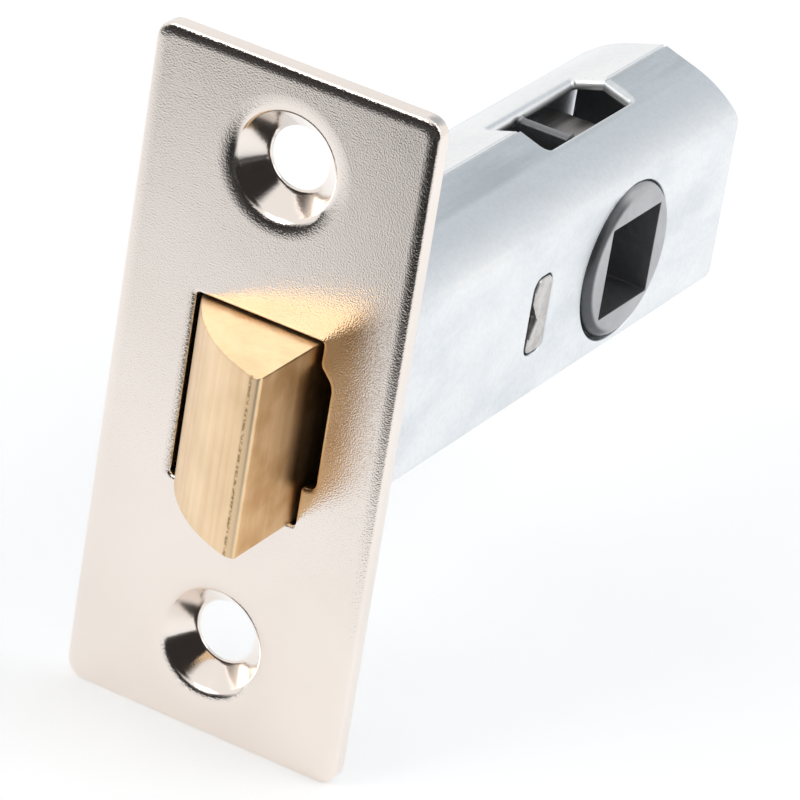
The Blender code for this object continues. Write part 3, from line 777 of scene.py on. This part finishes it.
DIMPLE = [(5.90, 0.0), (5.60, 0.012), (5.35, 0.036), (5.10, 0.074), (4.88, 0.122), (4.68, 0.180),
          (4.50, 0.262), (4.32, 0.38), (4.22, 0.50), (4.08, 0.67), (2.85, 2.10), (2.68, 2.32),
          (2.585, 2.46), (2.55, 2.58), (2.56, 2.70), (2.62, 2.77), (2.72, 2.80), (3.3, 2.78),
          (3.5, 2.72), (3.68, 2.55), (5.0, 1.85), (5.35, 1.68), (5.7, 1.6)]
dimples = []
for height in SCREW_PLACES:
    dimples.append([[(x, y * MM, z) for x, z in circle((0.0, height), r * MM, 80)] for r, y in DIMPLE])
print(len(outer), "rings round the edge and", len(DIMPLE), "down each dimple")

# %% [markdown]
# The aperture fits round the bolt with a fine gap. On the side of the bolt's flat it is punched
# a little wider over its middle, which shows as a dark bulge beside the bolt.

# %% Forend aperture and assembly
GAP_X = 5.67 * MM
GAP_LEFT = 5.76 * MM
GAP_Z = 7.88 * MM
RELIEF = 1.2 * MM
RELIEF_TOP = 5.9 * MM
RELIEF_BOTTOM = -4.4 * MM
hole_corners = [(GAP_X, GAP_Z), (-GAP_LEFT, GAP_Z), (-GAP_LEFT, -GAP_Z), (GAP_X, -GAP_Z),
                (GAP_X, RELIEF_BOTTOM), (GAP_X + RELIEF, RELIEF_BOTTOM),
                (GAP_X + RELIEF, RELIEF_TOP - 1.3 * MM), (GAP_X, RELIEF_TOP)]
hole_radii = [r * MM for r in (0.3, 0.3, 0.3, 0.3, 0.4, 0.6, 1.5, 0.9)]
PUNCHED = [(0.0, 0.42), (0.006, 0.31), (0.022, 0.22), (0.05, 0.145), (0.10, 0.08), (0.17, 0.03), (0.27, 0.0),
           (1.50, 0.0), (1.57, 0.03), (1.6, 0.08)]
through = []
for y, wider in PUNCHED:
    through.append([(x, y * MM, z) for x, z in rounded_polygon(hole_corners, hole_radii, -wider * MM)])

bm = bmesh.new()
stacks = [stitch_all(bm, rings) for rings in [outer] + dimples + [through]]
fill_flat(bm, [stack[0] for stack in stacks], lambda p: (p.x, p.z))
fill_flat(bm, [stack[1] for stack in stacks], lambda p: (p.x, p.z))
forend = make_piece("forend_plate", bm, nickel.material, "case", "forend")

# %% [markdown]
# ## Case
#
# The real case starts as a flat blank with its holes already punched, and is folded until its two
# long edges meet at the top. The mesh is made the same way. The blank is a flat slab in which the
# openings are cut and their edges softened, then it is sliced into narrow strips, and each point
# is carried to its place on the folded outline. That keeps the sheet's thickness everywhere.

# %% Folded outline
SHEET = 1.0 * MM
CASE_LOW, CASE_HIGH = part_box("case")
CASE_FLAT = CASE_HIGH[0]
CASE_FRONT, CASE_REAR = CASE_LOW[1], CASE_HIGH[1]
CASE_R = 10.8 * MM
FOLD = 1.5 * MM
SLOPE = 3.2 * MM
SEAM = 0.2 * MM
fold_x = CASE_FLAT - FOLD
fold_z = math.sqrt((CASE_R - FOLD) ** 2 - fold_x ** 2)
fold_turn = math.degrees(math.atan2(fold_z, fold_x))
slope_turn = math.degrees(math.asin(SLOPE / CASE_R))
slope_length = (SLOPE - SEAM / 2) / math.cos(math.radians(slope_turn))
roof_turn = 90.0 - slope_turn - fold_turn
fold_length = math.radians(fold_turn) * FOLD
STRETCHES = [
    (slope_length, "slope", None),
    (math.radians(roof_turn) * CASE_R, "arc", ((0.0, 0.0), CASE_R, 90.0 - slope_turn, fold_turn)),
    (fold_length, "arc", ((fold_x, fold_z), FOLD, fold_turn, 0.0)),
    (2 * fold_z, "flat", None),
    (fold_length, "arc", ((fold_x, -fold_z), FOLD, 0.0, -fold_turn)),
    (math.radians(90.0 - fold_turn) * CASE_R, "arc", ((0.0, 0.0), CASE_R, -fold_turn, -90.0)),
]
HALF_GIRTH = sum(length for length, kind, data in STRETCHES)


def on_section(along, depth):
    """Place and height on the folded section for a distance from the seam and a depth into the sheet."""
    side = 1.0
    if along > HALF_GIRTH:
        along = 2 * HALF_GIRTH - along
        side = -1.0
    for length, kind, data in STRETCHES[:-1]:
        if along <= length + 1e-9:
            break
        along -= length
    else:
        length, kind, data = STRETCHES[-1]
    if kind == "slope":
        a = math.radians(90.0 - slope_turn)
        end = Vector((math.cos(a), math.sin(a))) * CASE_R
        back_up = Vector((-math.sin(a), math.cos(a))) * (length - along)
        inward = Vector((-math.cos(a), -math.sin(a))) * depth
        point = end + back_up + inward
    elif kind == "flat":
        point = Vector((CASE_FLAT - depth, fold_z - along))
    else:
        centre, radius, start, end = data
        a = math.radians(start + (end - start) * along / length)
        point = Vector(centre) + Vector((math.cos(a), math.sin(a))) * (radius - depth)
    return side * point.x, point.y


print("half girth", round(HALF_GIRTH * 1000, 2), "mm, folds turn", round(fold_turn, 1), "degrees")

# %% [markdown]
# The blank's coordinates are the distance round the section from the seam and the distance along
# the case. An opening is a ring stack again: each one goes from the outside of the sheet to its
# inside with a small radius at both rims. After the flat faces are filled, the blank is sliced
# along every line where the fold needs another facet.

# %% Openings in the blank
flat_start = sum(STRETCHES[i][0] for i in range(3))
right_middle = flat_start + STRETCHES[3][0] / 2
left_middle = 2 * HALF_GIRTH - right_middle
WINDOW_X = 2.85 * MM
WINDOW_FRONT = 39.05 * MM
WINDOW_REAR = 53.35 * MM
HUB_HOLE = 7.0 * MM
SLOT_FRONT, SLOT_REAR, SLOT_HALF = 30.35 * MM, 33.5 * MM, 3.5 * MM
OPENING_RIM = [(0.0, 0.14), (0.03, 0.07), (0.09, 0.02), (0.16, 0.0),
               (0.86, 0.0), (0.94, 0.02), (1.0, 0.08)]


def opening(outline):
    """Rings through the sheet for an outline in the blank, with both rims rounded."""
    rings = []
    for depth, wider in OPENING_RIM:
        rings.append([(u, y, depth * MM) for u, y in shrunk(outline, -wider * MM)])
    return rings


openings = []
for middle in (right_middle, left_middle):
    openings.append(opening(circle((middle, HUB_Y), HUB_HOLE, 72)))
    slot_low, slot_high = (middle - SLOT_HALF, SLOT_FRONT), (middle + SLOT_HALF, SLOT_REAR)
    openings.append(opening(rounded_rectangle(slot_low, slot_high, 1.1 * MM, 8)))
openings.append(opening(rounded_rectangle((HALF_GIRTH - WINDOW_X, WINDOW_FRONT),
                                          (HALF_GIRTH + WINDOW_X, WINDOW_REAR), 0.3 * MM, 5)))
print(len(openings), "openings inside the blank")

# %% [markdown]
# The top window is shared by both long edges of the blank, so in the flat it is a notch in each
# of them. The blank's outline runs round both notches. The punch has rolled the window's left and
# rear lips over broadly and its right lip less. LIPS says how far the edge stands back at each
# depth in the sheet: at those broad lips, at the right lip, and at the seam and the ends.

# %% Blank
girth = 2 * HALF_GIRTH
notch = (WINDOW_X - SEAM / 2) / math.cos(math.radians(slope_turn))
blank_radii = [r * MM for r in (0.1, 0.1, 0.12, 0.3, 0.3, 0.12, 0.1, 0.1, 0.12, 0.3, 0.3, 0.12)]
LIPS = [(0.0, 0.80, 0.30, 0.14), (0.02, 0.62, 0.20, 0.09), (0.07, 0.44, 0.12, 0.05),
        (0.14, 0.30, 0.06, 0.02), (0.24, 0.17, 0.02, 0.0), (0.36, 0.08, 0.0, 0.0),
        (0.50, 0.02, 0.0, 0.0), (0.66, 0.0, 0.0, 0.0), (0.88, 0.0, 0.0, 0.0),
        (0.96, 0.03, 0.03, 0.03), (1.0, 0.08, 0.08, 0.08)]
sheet_edge = []
for depth, broad, right_lip, seam_rim in LIPS:
    out = (broad - seam_rim) * MM
    right_out = (broad - right_lip) * MM
    blank = [(-out, CASE_FRONT - out), (girth + out, CASE_FRONT - out), (girth + out, WINDOW_FRONT),
             (girth - notch, WINDOW_FRONT), (girth - notch, WINDOW_REAR), (girth + out, WINDOW_REAR),
             (girth + out, CASE_REAR + out), (-out, CASE_REAR + out), (-out, WINDOW_REAR),
             (notch - right_out, WINDOW_REAR), (notch - right_out, WINDOW_FRONT + right_out),
             (-out, WINDOW_FRONT + right_out)]
    outline = rounded_polygon(blank, blank_radii, broad * MM)
    sheet_edge.append([(u, y, depth * MM) for u, y in outline])

bm = bmesh.new()
stacks = [stitch_all(bm, rings) for rings in [sheet_edge] + openings]
fill_flat(bm, [stack[0] for stack in stacks], lambda p: (p.x, p.y))
fill_flat(bm, [stack[1] for stack in stacks], lambda p: (p.x, p.y))
print("blank", round(girth * 1000, 2), "mm wide with", len(bm.faces), "faces")


# %% Slice and fold the blank
def slice_at(bm, place):
    """Cuts a blank along the line at a distance along it."""
    everything = bm.verts[:] + bm.edges[:] + bm.faces[:]
    bmesh.ops.bisect_plane(bm, geom=everything, dist=1e-7, plane_co=(place, 0, 0), plane_no=(1, 0, 0))


FACET = 0.55 * MM
slices = []
start = 0.0
for length, kind, data in STRETCHES:
    count = {"slope": 1, "flat": 2}.get(kind, max(4, math.ceil(length / FACET)))
    slices += [start + length * i / count for i in range(count + 1)]
    start += length
slices += [girth - u for u in slices]
for u in sorted({round(s, 8) for s in slices if 1e-6 < s < girth - 1e-6}):
    slice_at(bm, u)
for v in bm.verts:
    u, y, depth = v.co
    x, z = on_section(u, depth)
    v.co = (x, y, z)
case = make_piece("folded_case", bm, zinc.material, "case", "case", 50.0)

# %% [markdown]
# ## Bolt
#
# The bolt is a length of brass with one flat side and one side milled to a shallow curve, so that
# the door's keep pushes it in as the door closes. Seen from above that is one outline, and the
# solid is that outline raised through the bolt's height. Its rims are shrunk in small steps, which
# leaves the sharp but not knife-like edges of a tumbled part.

# %% Bolt outline
side = BOLT_HIGH[0]
nose = BOLT_LOW[1]
tail = BOLT_HIGH[1]
BEVEL_RADIUS = 16.5 * MM
bevel_tip = Vector((side - NOSE_WIDTH, nose))
bevel_root = Vector((-side, 0.3 * MM))
half_chord = (bevel_root - bevel_tip) / 2
across = Vector((half_chord.y, -half_chord.x)).normalized()
if across.y < 0:
    across = -across
centre = bevel_tip + half_chord + across * math.sqrt(BEVEL_RADIUS ** 2 - half_chord.length ** 2)
first = math.degrees(math.atan2(bevel_root.y - centre.y, bevel_root.x - centre.x))
last = math.degrees(math.atan2(bevel_tip.y - centre.y, bevel_tip.x - centre.x))
if last < first:
    last += 360.0
bevel = arc(centre, BEVEL_RADIUS, first, last, 26)
NOSE_ROUND = 0.36 * MM
nose_corner = arc((side - NOSE_ROUND, nose + NOSE_ROUND), NOSE_ROUND, -90.0, 0.0, 7)
bolt_outline = [(side, tail), (-side, tail)] + bevel + nose_corner
print("bevel turns", round(last - first, 1), "degrees with", len(bolt_outline), "points in the outline")

# %% Bolt
RIM = 0.13 * MM
rings = []
for end, sign in ((BOLT_LOW[2], 1.0), (BOLT_HIGH[2], -1.0)):
    stack = []
    for step in range(5):
        a = math.radians(90 * step / 4)
        height = end + sign * RIM * (1 - math.sin(a))
        stack.append([(x, y, height) for x, y in shrunk(bolt_outline, RIM * (1 - math.cos(a)))])
    rings += reversed(stack) if sign > 0 else stack
bm = bmesh.new()
low_ring, high_ring = stitch_all(bm, rings)
bm.faces.new(low_ring)
bm.faces.new(high_ring)
bolt = make_piece("brass_bolt", bm, brass.material, "bolt", "latch_bolt", 25.0)

# %% [markdown]
# ## Follower
#
# The follower is a casting: a hub that turns in the two side walls of the case, a square hole for
# the spindle, and a lobe above and below that reach into the windows. The hub is a stack of
# circles from one end to the other. The square hole is a stack of squares, and the two meet at
# the end faces, which are filled flat between them.

# %% Hub
HUB_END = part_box("follower")[1][0]
HUB_R = 6.72 * MM
SQUARE = 4.05 * MM
HUB_FLAT = 5.80 * MM
HUB_DOME = 0.85 * MM
half_profile = []
for step in range(9):
    a = math.radians(90 * step / 8)
    radius = HUB_FLAT + (HUB_R - HUB_FLAT) * math.sin(a)
    half_profile.append((HUB_END - HUB_DOME * (1 - math.cos(a)), radius))
half_profile += [(6.3 * MM, 6.6 * MM), (6.3 * MM, 7.0 * MM), (6.2 * MM, 7.1 * MM), (4.35 * MM, 7.1 * MM),
                 (4.25 * MM, 7.0 * MM), (4.25 * MM, 6.35 * MM), (4.1 * MM, 6.3 * MM)]
profile = half_profile + [(-d, r) for d, r in reversed(half_profile)]
hub_rings = [[(d, HUB_Y + y, z) for y, z in circle(HUB_SITS, r, 96)] for d, r in profile]
square_outline = rounded_rectangle((HUB_SITS[0] - SQUARE, HUB_SITS[1] - SQUARE),
                                   (HUB_SITS[0] + SQUARE, HUB_SITS[1] + SQUARE), 0.2 * MM, 3)
mouth = []
for depth, wider in ((0.0, 0.07), (0.03, 0.02), (0.09, 0.0)):
    mouth.append([(HUB_END - depth * MM, HUB_Y + y, z) for y, z in shrunk(square_outline, -wider * MM)])
square_rings = mouth + [[(-x, y, z) for x, y, z in ring] for ring in reversed(mouth)]
bm = bmesh.new()
round_ends = stitch_all(bm, hub_rings)
square_ends = stitch_all(bm, square_rings)
for outer_ring, inner_ring in zip(round_ends, square_ends):
    fill_flat(bm, [outer_ring, inner_ring], lambda p: (p.y, p.z))
hub = make_piece("follower_hub", bm, casting.material, "follower", "follower", 35.0)

# %% [markdown]
# The lobes lean towards the forend when the latch is at rest. Each is a short wedge with a
# rounded tip, cast in one with the hub. Its root is sunk into the hub so the two read as one.


# %% Lobes
LOBE_SIDES = [(-2.35, 0.25), (-2.30, 0.1), (-2.2, 0.02), (-2.05, 0.0),
              (2.05, 0.0), (2.2, 0.02), (2.3, 0.1), (2.35, 0.25)]


def lobe(name, sign):
    """A lobe above (+1) or below (-1) the hub."""
    def polar(radius, angle):
        a = math.radians(angle)
        return (HUB_Y - radius * MM * math.sin(a), sign * radius * MM * math.cos(a))

    corners = [polar(5.9, 10.5), polar(10.2, 11.6), polar(10.2, 15.8), polar(7.1, 23.0), polar(5.9, 38.0)]
    radii = [0, 0.16 * MM, 0.28 * MM, 0.8 * MM, 0]
    if sign > 0:
        corners.reverse()
        radii.reverse()
    rings = []
    for x, inset in LOBE_SIDES:
        rings.append([(x * MM, y, z) for y, z in rounded_polygon(corners, radii, inset * MM, 6)])
    bm = bmesh.new()
    low_ring, high_ring = stitch_all(bm, rings)
    bm.faces.new(low_ring)
    bm.faces.new(high_ring)
    return make_piece(name, bm, casting.material, "follower", "follower", 35.0)


upper_lobe = lobe("follower_lobe_upper", 1.0)
lower_lobe = lobe("follower_lobe_lower", -1.0)

# %% [markdown]
# ## Retractor
#
# The retractor is a strap folded to a U. Its web is screwed to the back of the bolt, and its two
# arms run past the follower, with a slot in each for a lobe. Like the case it is made as a flat
# blank and then folded, here with just two bends.

# %% Strap fold
STRAP_OUT = 7.9 * MM
STRAP_SHEET = 1.2 * MM
STRAP_BEND = 2.0 * MM
STRAP_WEB = 14.2 * MM
STRAP_END = 52.0 * MM
arm = STRAP_END - STRAP_WEB - STRAP_BEND
bend = math.pi / 2 * STRAP_BEND
web = 2 * (STRAP_OUT - STRAP_BEND)
strap_length = 2 * arm + 2 * bend + web


def on_strap(along, depth):
    """Distance back and height for a distance along the blank and a depth into the sheet."""
    side = 1.0
    if along > strap_length / 2:
        along = strap_length - along
        side = -1.0
    if along < arm:
        y, z = STRAP_END - along, STRAP_OUT - depth
    elif along < arm + bend:
        a = (along - arm) / STRAP_BEND
        y = STRAP_WEB + STRAP_BEND - (STRAP_BEND - depth) * math.sin(a)
        z = STRAP_OUT - STRAP_BEND + (STRAP_BEND - depth) * math.cos(a)
    else:
        y, z = STRAP_WEB + depth, STRAP_OUT - STRAP_BEND - (along - arm - bend)
    return y, side * z


print("strap blank is", round(strap_length * 1000, 1), "mm long")

# %% Strap blank and fold
STRAP_X = 3.9 * MM
SLOT_X = 2.65 * MM
BAR_FRONT = 45.5 * MM
SLOT_START = 31.5 * MM
RIMS = [(0.0, 0.16), (0.03, 0.08), (0.09, 0.02), (0.17, 0.0),
        (1.03, 0.0), (1.11, 0.02), (1.17, 0.08), (1.2, 0.16)]
bar = STRAP_END - BAR_FRONT
slot_end = STRAP_END - SLOT_START
outlines = [rounded_rectangle((bar, -SLOT_X), (slot_end, SLOT_X), 0.4 * MM),
            rounded_rectangle((strap_length - slot_end, -SLOT_X), (strap_length - bar, SLOT_X), 0.4 * MM),
            circle((strap_length / 2, 0.0), 2.3 * MM, 40)]
stacks = []
bm = bmesh.new()
rings = []
for depth, inset in RIMS:
    i = inset * MM
    outline = rounded_rectangle((i, i - STRAP_X), (strap_length - i, STRAP_X - i), 0.5 * MM - i)
    rings.append([(u, x, depth * MM) for u, x in outline])
stacks.append(stitch_all(bm, rings))
for outline in outlines:
    rings = [[(u, x, d * MM) for u, x in shrunk(outline, -i * MM)] for d, i in RIMS]
    stacks.append(stitch_all(bm, rings))
fill_flat(bm, [stack[0] for stack in stacks], lambda p: (p.x, p.y))
fill_flat(bm, [stack[1] for stack in stacks], lambda p: (p.x, p.y))
for step in range(9):
    u = arm + bend * step / 8
    for place in (u, strap_length - u):
        slice_at(bm, place)
for v in bm.verts:
    u, x, depth = v.co
    y, z = on_strap(u, depth)
    v.co = (x, y, z)
retractor = make_piece("retractor_strap", bm, steel.material, "bolt", "retractor", 40.0)

# %% [markdown]
# ## Spring stop
#
# The stop is a plate across the case that the spring pushes against. Its body is hidden, but a
# lug on each side passes through a slot in the case and is staked there: a punch has split and
# spread its end, so it nearly fills the slot and leaves a dark line along its front.

# %% Stop plate
STOP_FRONT, STOP_BACK = 31.4 * MM, 33.2 * MM
STOP_X, STOP_Z = 6.6 * MM, 6.3 * MM
rings = []
for y, inset in ((STOP_FRONT, 0.15), (STOP_FRONT + 0.04 * MM, 0.04), (STOP_FRONT + 0.15 * MM, 0.0),
                 (STOP_BACK - 0.15 * MM, 0.0), (STOP_BACK - 0.04 * MM, 0.04), (STOP_BACK, 0.15)):
    i = inset * MM
    outline = rounded_rectangle((i - STOP_X, i - STOP_Z), (STOP_X - i, STOP_Z - i), 1.2 * MM - i)
    rings.append([(x, y, z) for x, z in outline])
bm = bmesh.new()
edge = stitch_all(bm, rings)
SPIGOT = [(4.1, 31.4), (3.93, 31.33), (3.86, 31.2), (3.85, 30.8), (3.8, 30.66), (3.65, 30.6)]
boss = stitch_all(bm, [[(x, y * MM, z) for x, z in circle((0, 0), r * MM, 56)] for r, y in SPIGOT])
DISH = [(3.7, 33.2), (3.62, 33.1), (3.6, 32.5), (3.5, 32.4)]
dish = stitch_all(bm, [[(x, y * MM, z) for x, z in circle((0, 0), r * MM, 56)] for r, y in DISH])
fill_flat(bm, [edge[0], boss[0]], lambda p: (p.x, p.z))
fill_flat(bm, [edge[1], dish[0]], lambda p: (p.x, p.z))
bm.faces.new(boss[1])
bm.faces.new(dish[1])
stop = make_piece("stop_plate", bm, steel.material, "case", "spring_stop")


# %% Staked lugs
def lug(name, sign):
    """A lug on the right (+1) or left (-1) side, spread at its end."""
    def corners(front, rear, reach, waist):
        return [(rear, reach), (front + 0.25, reach), (front, reach - 1.0), (front, 1.2), (waist, -0.25),
                (front, -1.9), (front, -reach), (rear, -reach)]

    straight = corners(31.4, 33.15, 3.0, 31.6)
    spread = corners(30.80, 33.36, 3.28, 31.72)
    radii = [r * MM for r in (0.8, 0.6, 0.5, 0.4, 0.2, 0.3, 0.5, 0.7)]
    shape = [(6.4, straight, 0.0), (7.2, straight, 0.0), (7.45, spread, 0.0), (7.80, spread, 0.0),
             (7.90, spread, 0.06), (7.96, spread, 0.16), (8.0, spread, 0.36)]
    rings = []
    for x, points, inset in shape:
        points = [(y * MM, z * MM) for y, z in points]
        rings.append([(sign * x * MM, y, z) for y, z in rounded_polygon(points, radii, inset * MM, 6)])
    bm = bmesh.new()
    low_ring, high_ring = stitch_all(bm, rings)
    bm.faces.new(low_ring)
    middle = bm.verts.new((sign * 7.93 * MM, 32.3 * MM, -0.25 * MM))
    for i, v in enumerate(high_ring):
        bm.faces.new((v, high_ring[(i + 1) % len(high_ring)], middle))
    return make_piece(name, bm, staked.material, "case", "spring_stop", 30.0)


right_lug = lug("stop_lug_right", 1.0)
left_lug = lug("stop_lug_left", -1.0)

# %% [markdown]
# ## End plate and spring
#
# The end plate closes the case. Its outline is the inside of the folded sheet, so it is taken
# from the same fold with a little clearance. Close to the seam the two halves of that outline
# would cross, so the points that cross are left out. The spring is a wire of constant thickness wound
# round the axis, with its end turns closed. It is set in the case.

# %% End plate
PLATE_GAP = 0.3 * MM
DEEPEST = SHEET + PLATE_GAP + 0.15 * MM
steps = []
for i in range(181):
    u = HALF_GIRTH * i / 90
    if i == 90 or on_section(u, DEEPEST)[0] * (90 - i) > 0:
        steps.append(u)
rings = []
for y, inset in ((62.4, 0.12), (62.44, 0.03), (62.52, 0.0), (63.42, 0.0), (63.54, 0.04), (63.6, 0.15)):
    rings.append([(x, y * MM, z) for x, z in
                  [on_section(u, SHEET + PLATE_GAP + inset * MM) for u in steps]])
bm = bmesh.new()
front_ring, rear_ring = stitch_all(bm, rings)
bm.faces.new(front_ring)
bm.faces.new(rear_ring)
end_plate = make_piece("end_cap", bm, zinc.material, "case", "end_plate")

# %% Spring
WIRE = 0.45 * MM
COIL = 4.6 * MM
SPRING_FRONT, SPRING_REAR = 15.6 * MM, 31.2 * MM
TURNS, STEPS, SIDES = 6.0, 40, 14
first, last = SPRING_FRONT + WIRE, SPRING_REAR - WIRE
closed = 1.1 * MM
pitch = (last - first - 2 * closed) / (TURNS - 2)
centres = []
for i in range(int(TURNS * STEPS) + 1):
    t = i / STEPS
    open_turns = min(TURNS - 2.0, max(0.0, t - 1.0))
    closed_turns = min(t, 1.0) + max(0.0, t - TURNS + 1.0)
    lift = closed_turns * closed + open_turns * pitch
    a = 2 * math.pi * t
    centres.append(Vector((COIL * math.cos(a), first + lift, COIL * math.sin(a))))
rings = []
for i, c in enumerate(centres):
    ahead = (centres[min(i + 1, len(centres) - 1)] - centres[max(i - 1, 0)]).normalized()
    outward = Vector((c.x, 0.0, c.z)).normalized()
    outward = (outward - ahead * outward.dot(ahead)).normalized()
    across = ahead.cross(outward)
    rings.append([c + outward * a + across * b for a, b in circle((0.0, 0.0), WIRE, SIDES)])
bm = bmesh.new()
start_ring, end_ring = stitch_all(bm, rings)
bm.faces.new(start_ring)
bm.faces.new(end_ring)
spring = make_piece("coil_spring", bm, wire.material, "case", "bolt_spring")
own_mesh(spring)

# %% [markdown]
# The bolt's screw keeps its plain solid, which already has the right shape, and only gets its
# steel finish.

# %% Screw finish
for screw_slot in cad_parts["bolt_screw"].material_slots:
    screw_slot.material = steel.material
print("bolt_screw is finished in", steel.material.name)

# %% [markdown]
# ## Finish
#
# The last step brings the scene up to date.

# %% Finish
bpy.context.view_layer.update()
